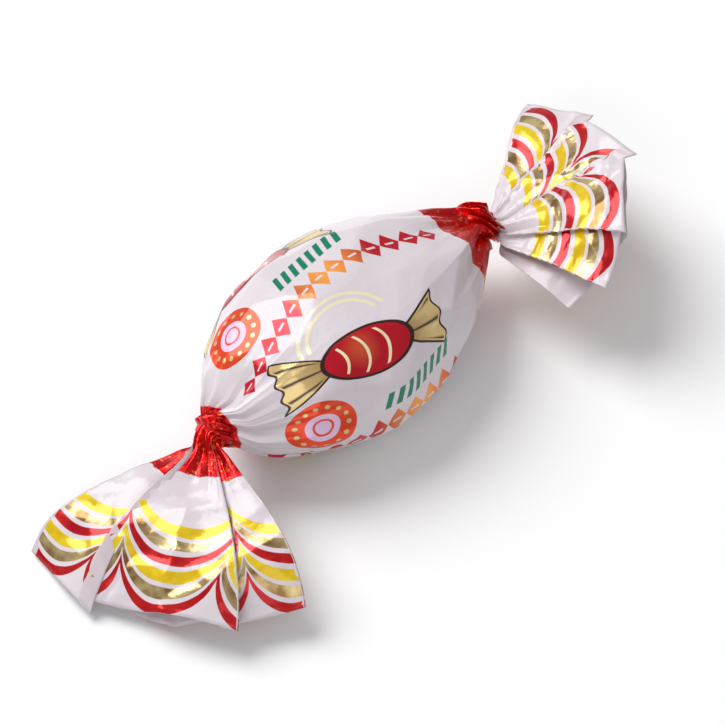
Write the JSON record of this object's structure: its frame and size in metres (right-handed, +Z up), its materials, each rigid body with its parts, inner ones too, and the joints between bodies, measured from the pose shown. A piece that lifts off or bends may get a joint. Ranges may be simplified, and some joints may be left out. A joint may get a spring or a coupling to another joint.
{
  "type": "wrapped caramel candy",
  "caption": "Hard caramel sweet in a glossy printed twist wrapper: a lemon-shaped body between two twisted knots, each with a flat folded fan of film.",
  "frame": {"origin": "middle of the small flat spot under the body, on the surface that the candy lies on", "axes": "+X along the sweet from the longer tail to the shorter one, +Z up"},
  "size_m": [0.0781, 0.0311, 0.0153],
  "materials": {
    "printed_film": "gloss"
  },
  "bodies": {
    "root": {"wrapped_candy": "printed_film"}
  },
  "joints": []
}
